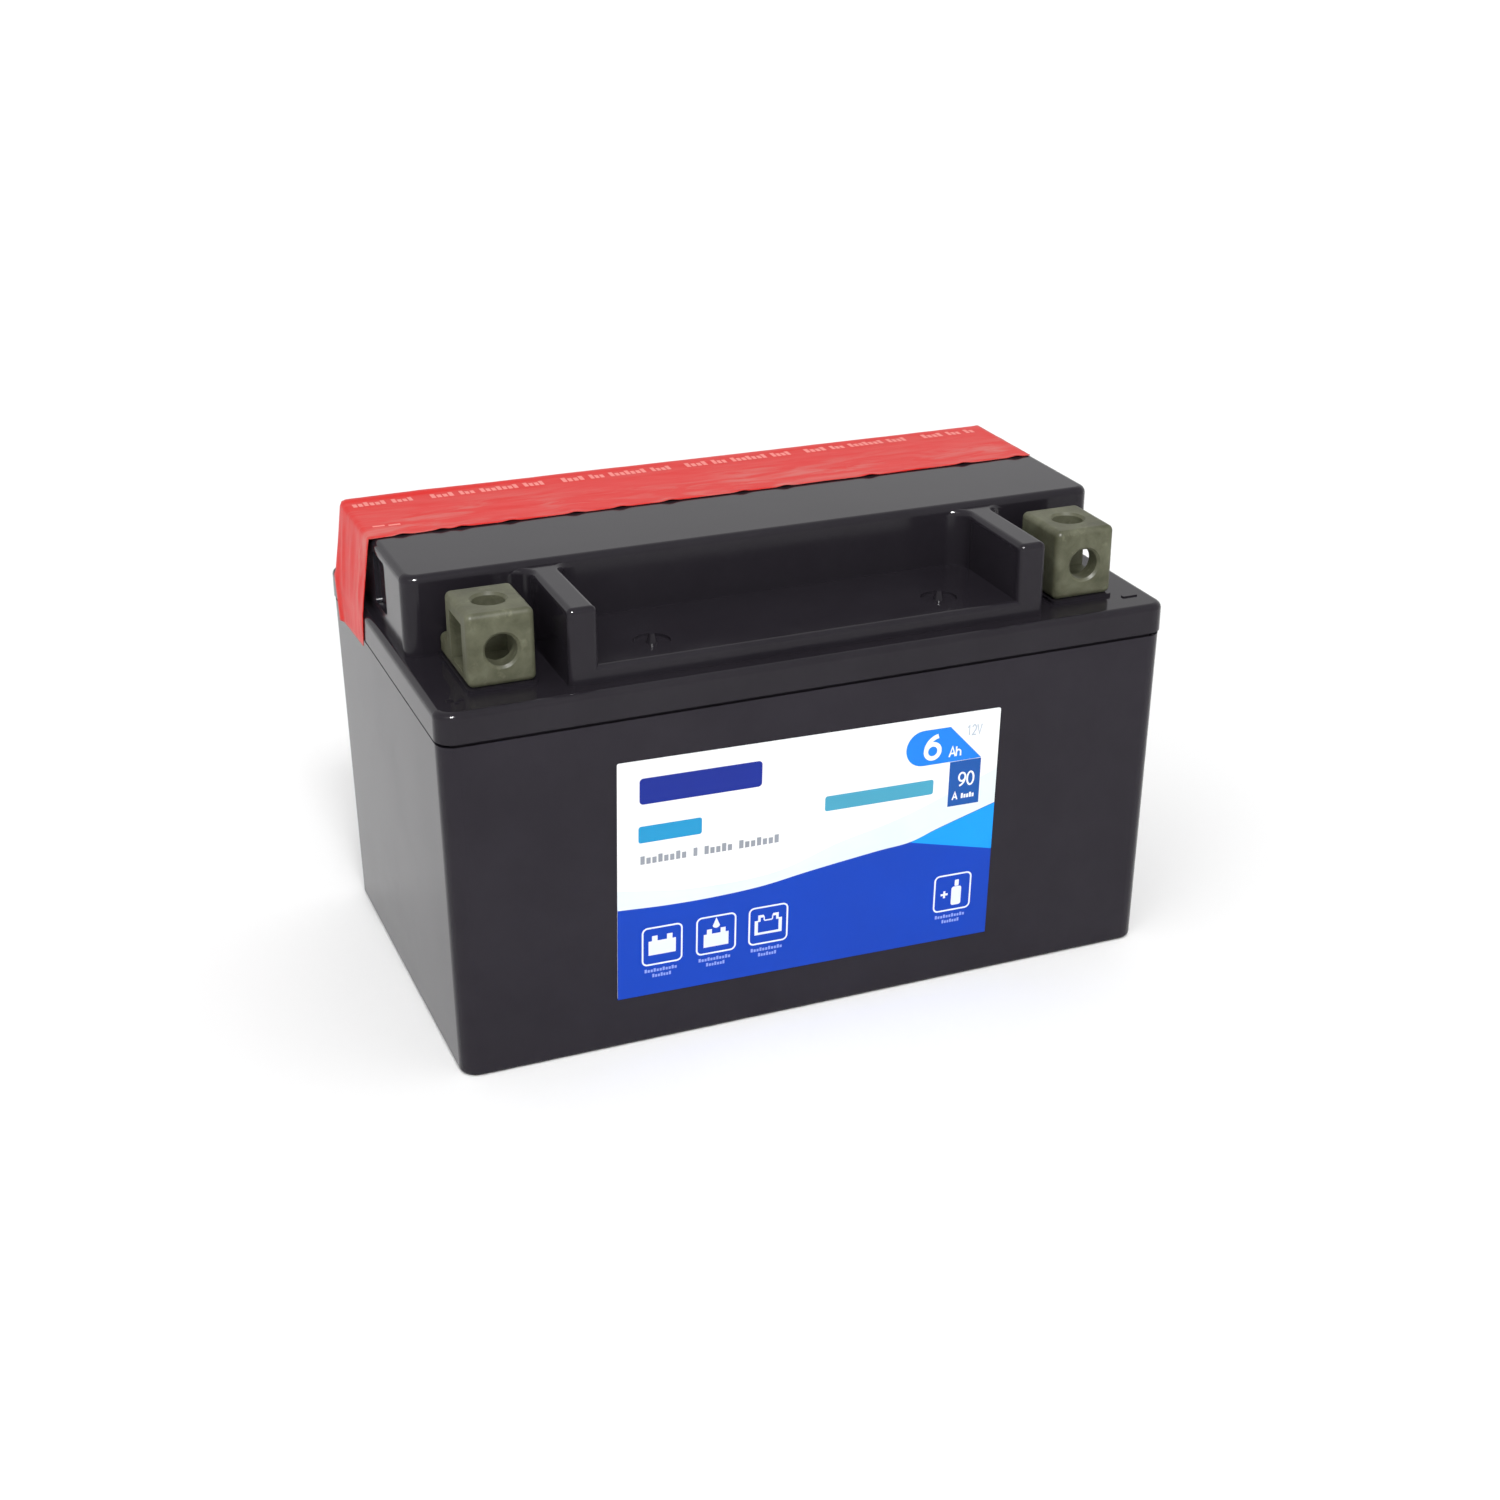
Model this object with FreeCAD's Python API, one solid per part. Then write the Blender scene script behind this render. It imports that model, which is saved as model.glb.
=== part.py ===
import FreeCAD, Part
import math
import os

# Motorcycle battery, 12 V, six cells, sealed lead-acid with glass-mat separators,
# as it is sold dry: the filler ports are still closed by a peel-off tape.
# Millimetres. X runs along the length, Y from front (-) to back (+), Z up.
# The origin is the centre of the base.

V = FreeCAD.Vector

# ---------------------------------------------------------------- driving sizes
LENGTH = 150.0          # over the lid's flange
WIDTH = 87.0            # over the lid's flange
SEAM_Z = 69.5           # top rim of the case, where the lid is welded on
FLANGE_TOP = 76.1       # top of the lid's low part
DECK_TOP = 92.0         # top of the lid's raised part
WALL = 2.4              # moulded wall
PARTITION = 1.8         # wall between two cells
CELLS = 6
OVERSHOOT = 1.0         # cutting shapes run this far past the face they open

# case
OVERHANG = 0.2          # the lid's flange stands out this far past the case
DRAFT_X = 0.95          # each end wall leans in this much towards the base
DRAFT_Y = 0.65
CORNER_R = 3.6          # vertical corners of case and flange
BASE_EDGE_R = 0.8
FLOOR = 2.5

# lid
SEAM_GAP = 0.7          # groove left over the weld
SEAM_DEPTH = 0.9
FLANGE_EDGE_R = 1.4
DECK_HALF = 72.9        # half length of the raised deck
DECK_FRONT = -14.5
DECK_BACK = 35.0
DECK_CORNER_R = 3.0
DECK_EDGE_R = 1.5
RIB_TOP = 91.1
RIB_FRONT = -39.5
RIB_INNER = 43.1        # half the clear width between the two ribs
RIB_WIDTH = 5.8
RIB_EDGE_R = 1.2
RIB_FLARE_R = 3.8       # round where a rib runs into the deck
POCKET_FLOOR = 79.5
POCKET_EDGE_R = 1.0
CHANNEL_FRONT = 13.5    # shallow channel that holds the filler ports
CHANNEL_BACK = 31.1
CHANNEL_HALF = 66.5
CHANNEL_DEPTH = 1.5
CHANNEL_CORNER_R = 2.0
PORT_R = 4.75
PORT_NECK_R = 6.25
PORT_NECK_BOTTOM = 78.0
PEDESTAL_HEIGHT = 0.6   # step that carries each terminal
PEDESTAL_MARGIN = 0.3
PEDESTAL_CORNER_R = 1.0
BOSS_R = 7.5            # round boss under the flange that holds a post's seal
GATE_X = 30.0           # the two moulding gates on the pocket floor
GATE_Y = -31.0
GATE_R = 3.6
GATE_DEPTH = 0.4
PIP_R = 1.1
PIP_HEIGHT = 1.8
MARK_X = 69.9           # moulded polarity marks beside the terminals
MARK_Y = -36.9
MARK_SIZE = 3.2
MARK_BAR = 0.9
MARK_HEIGHT = 0.25
RECESS_FRONT = 0.0      # shallow recess in the deck's left end
RECESS_BACK = 9.0
RECESS_Z0 = 79.5
RECESS_Z1 = 90.0
RECESS_DEPTH = 0.6
RECESS_CORNER_R = 1.0

# terminals
TERMINAL_X = 60.15      # distance of each terminal from the middle
TERMINAL_WIDTH = 12.9
TERMINAL_FRONT = -35.1
TERMINAL_BACK = -19.9
TERMINAL_TOP = 90.9
TERMINAL_EDGE_R = 1.2
FOOT_BACK = -14.7       # low rear foot over the post
FOOT_TOP = 81.0
FOOT_OVERLAP = 3.0      # the foot runs this far into the block
NUT_POCKET_DEPTH = 8.0  # pocket for the captive nut, front to back
NUT_POCKET_HEIGHT = 9.4
NUT_POCKET_Z = 83.5
NUT_POCKET_BACK_WALL = 2.2
BOLT_R = 3.1            # M6 clearance
BOLT_RIM = 0.5          # chamfer round each bolt hole
POST_R = 3.2
POST_Y = -19.0
POST_CLEARANCE = 0.1
SEAL_R = 5.5
SEAL_HEIGHT = 2.5

# plates and separators of one cell
POSITIVES = 4
NEGATIVES = 5
POSITIVE_T = 1.9
NEGATIVE_T = 1.4
SEPARATOR_T = 0.9
PLATE_WIDTH = 76.0
PLATE_BOTTOM = 4.5
PLATE_TOP = 55.5
SEPARATOR_WIDTH = 79.0
SEPARATOR_TOP = 57.5
SEPARATOR_CLEARANCE = 0.02
LUG_WIDTH = 9.0
STRAP_WIDTH = 11.0
STRAP_BOTTOM = 58.5
STRAP_TOP = 62.0
RISER_T = 2.0           # upright end of a strap that is welded through the wall
RISER_TOP = 68.5
STRAP_FRONT_Y = POST_Y
STRAP_BACK_Y = 21.0
WELD_R = 3.5
WELD_Z = 64.5

# film over the ports and paper on the front
TAPE_T = 0.3
TAPE_GAP = 0.1
TAPE_FRONT = 9.5
TAPE_RIGHT_END = 70.8
TAPE_FLAP_BOTTOM = 67.5
TAPE_FLAP_BACK = 37.0
TAPE_BACK_DROP = 3.0    # the film laps this far down the deck's back
LABEL_WIDTH = 80.0
LABEL_HEIGHT = 50.4
LABEL_T = 0.15
LABEL_X = -2.2
LABEL_Z = 35.1
LABEL_TILT = 1.2        # degrees, the label is stuck on slightly askew
LABEL_CORNER_R = 0.4

# ---------------------------------------------------------------- worked-out sizes
HALF_L = LENGTH / 2
HALF_W = WIDTH / 2
CASE_TOP_X = HALF_L - OVERHANG
CASE_TOP_Y = HALF_W - OVERHANG
CASE_BASE_X = CASE_TOP_X - DRAFT_X
CASE_BASE_Y = CASE_TOP_Y - DRAFT_Y
INNER_X = CASE_BASE_X - WALL
INNER_Y = CASE_BASE_Y - WALL
PITCH = (2 * INNER_X + PARTITION) / CELLS
CELL_WIDTH = PITCH - PARTITION
FLANGE_ROOF = FLANGE_TOP - WALL
PEDESTAL_TOP = FLANGE_TOP + PEDESTAL_HEIGHT
CHANNEL_FLOOR = DECK_TOP - CHANNEL_DEPTH
DECK_ROOF = CHANNEL_FLOOR - WALL
PORT_Y = (CHANNEL_FRONT + CHANNEL_BACK) / 2
NUT_POCKET_Y = (TERMINAL_FRONT + TERMINAL_BACK) / 2
STACK = POSITIVES * POSITIVE_T + NEGATIVES * NEGATIVE_T + 2 * POSITIVES * SEPARATOR_T


# ---------------------------------------------------------------- small helpers
def box(x0, x1, y0, y1, z0, z1):
    return Part.makeBox(x1 - x0, y1 - y0, z1 - z0, V(x0, y0, z0))


def rod(radius, x, y, z0, z1):
    return Part.makeCylinder(radius, z1 - z0, V(x, y, z0))


def cross_rod(radius, centre, direction, length):
    return Part.makeCylinder(radius, length, centre, direction)


def rounded_outline(x0, x1, y0, y1, z, r):
    """Closed wire: a rectangle at height z with round corners."""
    s = r * math.sqrt(0.5)
    corners = [
        (V(x1 - r, y0, z), V(x1 - r + s, y0 + r - s, z), V(x1, y0 + r, z)),
        (V(x1, y1 - r, z), V(x1 - r + s, y1 - r + s, z), V(x1 - r, y1, z)),
        (V(x0 + r, y1, z), V(x0 + r - s, y1 - r + s, z), V(x0, y1 - r, z)),
        (V(x0, y0 + r, z), V(x0 + r - s, y0 + r - s, z), V(x0 + r, y0, z)),
    ]
    edges = []
    for here, following in zip(corners, corners[1:] + corners[:1]):
        edges.append(Part.Arc(*here).toShape())
        edges.append(Part.makeLine(here[2], following[0]))
    return Part.Wire(edges)


def rounded_block(x0, x1, y0, y1, z0, z1, corner_r):
    face = Part.Face(rounded_outline(x0, x1, y0, y1, z0, corner_r))
    return face.extrude(V(0, 0, z1 - z0))


def round_edges(shape, radius, wanted):
    """Fillet every edge whose bounding box passes the test `wanted`."""
    edges = [edge for edge in shape.Edges if wanted(edge.BoundBox)]
    return shape.makeFillet(radius, edges)


def lies_at(z):
    """Test for round_edges: the edge lies flat at height z."""
    return lambda b: abs(b.ZMin - z) < 0.01 and abs(b.ZMax - z) < 0.01


def fuse(shapes):
    return shapes[0].multiFuse(shapes[1:]).removeSplitter()


def mirrored(shape):
    return shape.mirror(V(0, 0, 0), V(1, 0, 0))


def cell_x(cell):
    return (cell - (CELLS - 1) / 2) * PITCH


# ---------------------------------------------------------------- case
def weld_side_y(cell):
    """Y of the weld between this cell and the next one; it changes side each time."""
    return STRAP_BACK_Y if cell % 2 == 0 else STRAP_FRONT_Y


def make_case():
    base = rounded_outline(-CASE_BASE_X, CASE_BASE_X, -CASE_BASE_Y, CASE_BASE_Y, 0, CORNER_R)
    rim = rounded_outline(-CASE_TOP_X, CASE_TOP_X, -CASE_TOP_Y, CASE_TOP_Y, SEAM_Z, CORNER_R)
    outside = Part.makeLoft([base, rim], True, True)
    outside = round_edges(outside, BASE_EDGE_R, lies_at(0))
    cells = [
        box(cell_x(i) - CELL_WIDTH / 2, cell_x(i) + CELL_WIDTH / 2,
            -INNER_Y, INNER_Y, FLOOR, SEAM_Z + OVERSHOOT)
        for i in range(CELLS)
    ]
    weld_holes = [
        cross_rod(WELD_R, V(cell_x(i) + CELL_WIDTH / 2, weld_side_y(i), WELD_Z),
                  V(1, 0, 0), PARTITION)
        for i in range(CELLS - 1)
    ]
    return outside.cut(cells + weld_holes)


# ---------------------------------------------------------------- lid
def lid_flange():
    bead = rounded_block(-HALF_L + SEAM_DEPTH, HALF_L - SEAM_DEPTH,
                         -HALF_W + SEAM_DEPTH, HALF_W - SEAM_DEPTH,
                         SEAM_Z, FLANGE_ROOF, CORNER_R)
    flange = rounded_block(-HALF_L, HALF_L, -HALF_W, HALF_W,
                           SEAM_Z + SEAM_GAP, FLANGE_TOP, CORNER_R)
    return [bead, round_edges(flange, FLANGE_EDGE_R, lies_at(FLANGE_TOP))]


def lid_deck():
    deck = rounded_block(-DECK_HALF, DECK_HALF, DECK_FRONT, DECK_BACK,
                         FLANGE_ROOF, DECK_TOP, DECK_CORNER_R)
    return round_edges(deck, DECK_EDGE_R, lies_at(DECK_TOP))


def lid_rib():
    """Right-hand rib; it widens where it runs into the deck."""
    x0 = RIB_INNER
    x1 = RIB_INNER + RIB_WIDTH
    r = RIB_FLARE_R
    e = RIB_EDGE_R
    inside = DECK_FRONT + WALL
    z = FLANGE_ROOF
    s = r * (1 - math.sqrt(0.5))
    c = e * (1 - math.sqrt(0.5))
    edges = [
        Part.makeLine(V(x0 - r, inside, z), V(x0 - r, DECK_FRONT, z)),
        Part.Arc(V(x0 - r, DECK_FRONT, z), V(x0 - s, DECK_FRONT - s, z),
                 V(x0, DECK_FRONT - r, z)).toShape(),
        Part.makeLine(V(x0, DECK_FRONT - r, z), V(x0, RIB_FRONT + e, z)),
        Part.Arc(V(x0, RIB_FRONT + e, z), V(x0 + c, RIB_FRONT + c, z),
                 V(x0 + e, RIB_FRONT, z)).toShape(),
        Part.makeLine(V(x0 + e, RIB_FRONT, z), V(x1 - e, RIB_FRONT, z)),
        Part.Arc(V(x1 - e, RIB_FRONT, z), V(x1 - c, RIB_FRONT + c, z),
                 V(x1, RIB_FRONT + e, z)).toShape(),
        Part.makeLine(V(x1, RIB_FRONT + e, z), V(x1, DECK_FRONT - r, z)),
        Part.Arc(V(x1, DECK_FRONT - r, z), V(x1 + s, DECK_FRONT - s, z),
                 V(x1 + r, DECK_FRONT, z)).toShape(),
        Part.makeLine(V(x1 + r, DECK_FRONT, z), V(x1 + r, inside, z)),
        Part.makeLine(V(x1 + r, inside, z), V(x0 - r, inside, z)),
    ]
    rib = Part.Face(Part.Wire(edges)).extrude(V(0, 0, RIB_TOP - z))
    return round_edges(rib, RIB_EDGE_R,
                       lambda b: lies_at(RIB_TOP)(b) and b.YMin < DECK_FRONT - 0.01)


def pocket_step():
    """Raised floor between the two ribs."""
    half = RIB_INNER + RIB_WIDTH / 2
    step = box(-half, half, RIB_FRONT, DECK_FRONT + WALL, FLANGE_ROOF, POCKET_FLOOR)
    return round_edges(step, POCKET_EDGE_R,
                       lambda b: lies_at(POCKET_FLOOR)(b) and b.YMax < RIB_FRONT + 0.01)


def gate_dimple(x):
    return rod(GATE_R, x, GATE_Y, POCKET_FLOOR - GATE_DEPTH, POCKET_FLOOR + OVERSHOOT)


def gate_pip(x):
    return Part.makeCone(PIP_R, PIP_R / 2, PIP_HEIGHT, V(x, GATE_Y, POCKET_FLOOR - GATE_DEPTH))


def terminal_pedestal():
    half = TERMINAL_WIDTH / 2 + PEDESTAL_MARGIN
    return rounded_block(TERMINAL_X - half, TERMINAL_X + half,
                         TERMINAL_FRONT - PEDESTAL_MARGIN, DECK_FRONT + WALL,
                         FLANGE_ROOF, PEDESTAL_TOP, PEDESTAL_CORNER_R)


def mark_bar(x, long_x, long_y):
    return box(x - long_x / 2, x + long_x / 2, MARK_Y - long_y / 2, MARK_Y + long_y / 2,
               FLANGE_TOP - MARK_HEIGHT, FLANGE_TOP + MARK_HEIGHT)


def polarity_marks():
    return [
        mark_bar(-MARK_X, MARK_SIZE, MARK_BAR),
        mark_bar(-MARK_X, MARK_BAR, MARK_SIZE),
        mark_bar(MARK_X, MARK_SIZE, MARK_BAR),
    ]


def lid_hollows():
    """The space over each cell, under the flange, the deck and the pocket floor."""
    hollows = []
    for i in range(CELLS):
        x0 = cell_x(i) - CELL_WIDTH / 2
        x1 = cell_x(i) + CELL_WIDTH / 2
        hollows.append(box(x0, x1, -INNER_Y, INNER_Y, SEAM_Z - OVERSHOOT, FLANGE_ROOF))
        deck_x0 = max(x0, -DECK_HALF + WALL)
        deck_x1 = min(x1, DECK_HALF - WALL)
        hollows.append(box(deck_x0, deck_x1, DECK_FRONT + WALL, DECK_BACK - WALL,
                           SEAM_Z, DECK_ROOF))
        if 0 < i < CELLS - 1:
            pocket_x0 = max(x0, -RIB_INNER + WALL)
            pocket_x1 = min(x1, RIB_INNER - WALL)
            hollows.append(box(pocket_x0, pocket_x1, RIB_FRONT + WALL, DECK_FRONT + 2 * WALL,
                               SEAM_Z, POCKET_FLOOR - WALL))
    return hollows


def filler_necks():
    return [rod(PORT_NECK_R, cell_x(i), PORT_Y, PORT_NECK_BOTTOM, CHANNEL_FLOOR)
            for i in range(CELLS)]


def filler_bores():
    return [rod(PORT_R, cell_x(i), PORT_Y, PORT_NECK_BOTTOM - OVERSHOOT, DECK_TOP)
            for i in range(CELLS)]


def filler_channel():
    return rounded_block(-CHANNEL_HALF, CHANNEL_HALF, CHANNEL_FRONT, CHANNEL_BACK,
                         CHANNEL_FLOOR, DECK_TOP + OVERSHOOT, CHANNEL_CORNER_R)


def end_recess():
    recess = box(-DECK_HALF - OVERSHOOT, -DECK_HALF + RECESS_DEPTH,
                 RECESS_FRONT, RECESS_BACK, RECESS_Z0, RECESS_Z1)
    return round_edges(recess, RECESS_CORNER_R, lambda b: b.XLength > RECESS_DEPTH)


def post_boss():
    return rod(BOSS_R, TERMINAL_X, POST_Y, SEAM_Z, FLANGE_ROOF + WALL / 2)


def post_hole():
    bottom = SEAM_Z - OVERSHOOT
    hole = rod(POST_R + POST_CLEARANCE, TERMINAL_X, POST_Y, bottom, PEDESTAL_TOP + OVERSHOOT)
    seat = rod(SEAL_R, TERMINAL_X, POST_Y, bottom, FLANGE_ROOF)
    return hole.fuse(seat)


def make_lid():
    rib = lid_rib()
    pedestal = terminal_pedestal()
    outside = lid_flange() + [lid_deck(), rib, mirrored(rib), pocket_step()]
    outside += [pedestal, mirrored(pedestal)] + polarity_marks()
    body = fuse(outside).cut(lid_hollows())
    boss = post_boss()
    body = fuse([body, boss, mirrored(boss)] + filler_necks())
    holes = filler_bores() + [filler_channel(), end_recess(), post_hole(), mirrored(post_hole())]
    holes += [gate_dimple(GATE_X), gate_dimple(-GATE_X)]
    return fuse([body.cut(holes), gate_pip(GATE_X), gate_pip(-GATE_X)])


# ---------------------------------------------------------------- terminals
def bolt_hole(centre, inward, depth):
    """Hole `depth` deep from a face of the block, with a chamfered rim."""
    start = centre - inward * OVERSHOOT
    hole = Part.makeCylinder(BOLT_R, depth + OVERSHOOT, start, inward)
    rim = Part.makeCone(BOLT_R + BOLT_RIM + OVERSHOOT, BOLT_R,
                        BOLT_RIM + OVERSHOOT, start, inward)
    return hole.fuse(rim)


def make_terminal():
    """Right-hand terminal: a cast block with a captive-nut pocket open to the end."""
    x0 = TERMINAL_X - TERMINAL_WIDTH / 2
    x1 = TERMINAL_X + TERMINAL_WIDTH / 2
    block = box(x0, x1, TERMINAL_FRONT, TERMINAL_BACK, PEDESTAL_TOP, TERMINAL_TOP)
    block = block.makeFillet(TERMINAL_EDGE_R, block.Edges)
    foot = box(x0, x1, TERMINAL_BACK - FOOT_OVERLAP, FOOT_BACK, PEDESTAL_TOP, FOOT_TOP)
    foot = foot.makeFillet(TERMINAL_EDGE_R, foot.Edges)
    half_depth = NUT_POCKET_DEPTH / 2
    half_height = NUT_POCKET_HEIGHT / 2
    pocket = box(x0 + NUT_POCKET_BACK_WALL, x1 + OVERSHOOT,
                 NUT_POCKET_Y - half_depth, NUT_POCKET_Y + half_depth,
                 NUT_POCKET_Z - half_height, NUT_POCKET_Z + half_height)
    front_hole = bolt_hole(V(TERMINAL_X, TERMINAL_FRONT, NUT_POCKET_Z), V(0, 1, 0),
                           NUT_POCKET_Y - TERMINAL_FRONT)
    top_hole = bolt_hole(V(TERMINAL_X, NUT_POCKET_Y, TERMINAL_TOP), V(0, 0, -1),
                         TERMINAL_TOP - NUT_POCKET_Z)
    return fuse([block, foot]).cut([pocket, front_hole, top_hole])


def make_post():
    return rod(POST_R, TERMINAL_X, POST_Y, STRAP_TOP, PEDESTAL_TOP)


def make_post_seal():
    ring = rod(SEAL_R, TERMINAL_X, POST_Y, FLANGE_ROOF - SEAL_HEIGHT, FLANGE_ROOF)
    return ring.cut(rod(POST_R, TERMINAL_X, POST_Y, SEAM_Z, FLANGE_TOP))


# ---------------------------------------------------------------- inside a cell
def positive_at_front(cell):
    return cell % 2 == 0


def side_y(at_front):
    return STRAP_FRONT_Y if at_front else STRAP_BACK_Y


def plate_x(cell, layer):
    """Middle of plate number `layer`; even layers are negative, odd ones positive."""
    step = (POSITIVE_T + NEGATIVE_T) / 2 + SEPARATOR_T
    return cell_x(cell) - STACK / 2 + NEGATIVE_T / 2 + layer * step


def plates(cell, layers, thickness, lug_y):
    """Plates of one polarity, each with its lug, as separate solids."""
    solids = []
    for layer in layers:
        x = plate_x(cell, layer)
        plate = box(x - thickness / 2, x + thickness / 2,
                    -PLATE_WIDTH / 2, PLATE_WIDTH / 2, PLATE_BOTTOM, PLATE_TOP)
        lug = box(x - thickness / 2, x + thickness / 2,
                  lug_y - LUG_WIDTH / 2, lug_y + LUG_WIDTH / 2, PLATE_TOP, STRAP_BOTTOM)
        solids.append(fuse([plate, lug]))
    return Part.makeCompound(solids)


def make_positive_plates(cell):
    return plates(cell, range(1, 2 * POSITIVES, 2), POSITIVE_T, side_y(positive_at_front(cell)))


def make_negative_plates(cell):
    return plates(cell, range(0, 2 * NEGATIVES, 2), NEGATIVE_T,
                  side_y(not positive_at_front(cell)))


def make_separators(cell):
    """Glass mat folded under and up both sides of each positive plate."""
    folds = []
    gap = SEPARATOR_CLEARANCE
    for layer in range(1, 2 * POSITIVES, 2):
        x = plate_x(cell, layer)
        inner = POSITIVE_T / 2 + gap
        outer = POSITIVE_T / 2 + SEPARATOR_T - gap
        bottom = PLATE_BOTTOM - gap
        mat = box(x - outer, x + outer, -SEPARATOR_WIDTH / 2, SEPARATOR_WIDTH / 2,
                  bottom - SEPARATOR_T, SEPARATOR_TOP)
        room = box(x - inner, x + inner, -SEPARATOR_WIDTH, SEPARATOR_WIDTH,
                   bottom, SEPARATOR_TOP + OVERSHOOT)
        folds.append(mat.cut(room))
    return Part.makeCompound(folds)


def make_strap(cell, y, riser_side):
    """Lead bar over the lugs; riser_side is -1, 0 or +1 for the wall it is welded to."""
    x = cell_x(cell)
    y0 = y - STRAP_WIDTH / 2
    y1 = y + STRAP_WIDTH / 2
    parts = [box(x - STACK / 2, x + STACK / 2, y0, y1, STRAP_BOTTOM, STRAP_TOP)]
    if riser_side:
        wall = x + riser_side * CELL_WIDTH / 2
        back = wall - riser_side * RISER_T
        parts.append(box(min(wall, back), max(wall, back), y0, y1, STRAP_BOTTOM, RISER_TOP))
    return fuse(parts) if riser_side else parts[0]


def make_positive_strap(cell):
    return make_strap(cell, side_y(positive_at_front(cell)), -1 if cell > 0 else 0)


def make_negative_strap(cell):
    return make_strap(cell, side_y(not positive_at_front(cell)), 1 if cell < CELLS - 1 else 0)


def make_intercell_weld(cell):
    return cross_rod(WELD_R, V(cell_x(cell) + CELL_WIDTH / 2, weld_side_y(cell), WELD_Z),
                     V(1, 0, 0), PARTITION)


# ---------------------------------------------------------------- tape and label
def make_seal_tape():
    """Film over the ports: flat on the deck, down the back and over the left end."""
    low = DECK_TOP + TAPE_GAP
    high = low + TAPE_T
    flap_x = -HALF_L - TAPE_GAP
    bend = FLANGE_TOP + TAPE_GAP + TAPE_T
    deck_x = -DECK_HALF - TAPE_GAP
    across = [
        (TAPE_RIGHT_END, low), (TAPE_RIGHT_END, high), (deck_x - TAPE_T, high),
        (flap_x - TAPE_T, bend), (flap_x - TAPE_T, TAPE_FLAP_BOTTOM),
        (flap_x, TAPE_FLAP_BOTTOM), (flap_x, bend), (deck_x, low),
    ]
    outline = [V(x, TAPE_FRONT, z) for x, z in across]
    back = DECK_BACK + TAPE_GAP
    sheet = Part.Face(Part.makePolygon(outline + outline[:1])).extrude(
        V(0, back + TAPE_T - TAPE_FRONT, 0))
    flap_outline = [V(x, back, z) for x, z in across[2:]]
    flap = Part.Face(Part.makePolygon(flap_outline + flap_outline[:1])).extrude(
        V(0, TAPE_FLAP_BACK - back, 0))
    drop = box(deck_x - TAPE_T, TAPE_RIGHT_END, back, back + TAPE_T, high - TAPE_BACK_DROP, high)
    return fuse([sheet, flap, drop])


def make_front_label():
    half_w = LABEL_WIDTH / 2
    half_h = LABEL_HEIGHT / 2
    label = rounded_block(-half_w, half_w, -half_h, half_h, 0, LABEL_T, LABEL_CORNER_R)
    lean = math.degrees(math.atan2(DRAFT_Y, SEAM_Z))
    face_y = -CASE_BASE_Y - DRAFT_Y * LABEL_Z / SEAM_Z
    label.rotate(V(0, 0, 0), V(0, 0, 1), -LABEL_TILT)
    label.rotate(V(0, 0, 0), V(1, 0, 0), 90 + lean)
    label.translate(V(LABEL_X, face_y, LABEL_Z))
    return label


# ---------------------------------------------------------------- write the nodes
def write(name, shape):
    shape.exportStep("parts/" + name + ".step")


def main():
    os.makedirs("parts", exist_ok=True)
    write("case", make_case())
    write("lid", make_lid())
    write("seal_tape", make_seal_tape())
    write("front_label", make_front_label())
    write("negative_terminal", make_terminal())
    write("positive_terminal", mirrored(make_terminal()))
    write("negative_post", make_post())
    write("positive_post", mirrored(make_post()))
    write("negative_post_seal", make_post_seal())
    write("positive_post_seal", mirrored(make_post_seal()))
    for cell in range(CELLS):
        number = str(cell + 1)
        write("positive_plates_" + number, make_positive_plates(cell))
        write("negative_plates_" + number, make_negative_plates(cell))
        write("separators_" + number, make_separators(cell))
        write("positive_strap_" + number, make_positive_strap(cell))
        write("negative_strap_" + number, make_negative_strap(cell))
    for cell in range(CELLS - 1):
        write("intercell_weld_" + str(cell + 1), make_intercell_weld(cell))


main()
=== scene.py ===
import math

import bmesh
import bpy
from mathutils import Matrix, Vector, noise


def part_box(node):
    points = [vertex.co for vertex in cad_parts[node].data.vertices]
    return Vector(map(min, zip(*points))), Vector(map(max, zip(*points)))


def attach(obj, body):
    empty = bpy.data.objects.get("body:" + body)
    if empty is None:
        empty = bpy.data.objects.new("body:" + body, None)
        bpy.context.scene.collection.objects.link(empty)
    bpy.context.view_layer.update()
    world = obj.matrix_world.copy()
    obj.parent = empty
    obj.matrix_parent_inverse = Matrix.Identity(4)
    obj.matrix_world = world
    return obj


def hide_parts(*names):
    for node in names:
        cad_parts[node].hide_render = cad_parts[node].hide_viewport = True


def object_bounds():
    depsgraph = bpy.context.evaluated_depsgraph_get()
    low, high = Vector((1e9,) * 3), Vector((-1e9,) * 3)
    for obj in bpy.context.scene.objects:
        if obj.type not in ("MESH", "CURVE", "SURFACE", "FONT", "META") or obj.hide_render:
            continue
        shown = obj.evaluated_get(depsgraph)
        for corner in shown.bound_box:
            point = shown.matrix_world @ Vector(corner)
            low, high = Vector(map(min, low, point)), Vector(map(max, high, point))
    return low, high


# Looks of a sealed motorcycle battery, built round its CAD frame.
# Metres, in the frame's axes: X along the length, Y from front (-) to back (+), Z up.

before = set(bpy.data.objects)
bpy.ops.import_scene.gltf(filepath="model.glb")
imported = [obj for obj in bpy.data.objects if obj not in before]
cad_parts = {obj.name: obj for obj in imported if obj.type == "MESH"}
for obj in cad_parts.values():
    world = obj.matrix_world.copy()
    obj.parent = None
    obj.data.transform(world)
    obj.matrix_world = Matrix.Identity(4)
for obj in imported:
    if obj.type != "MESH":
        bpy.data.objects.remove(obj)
CAD_LOW, CAD_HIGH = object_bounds()
MM = 0.001

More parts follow.
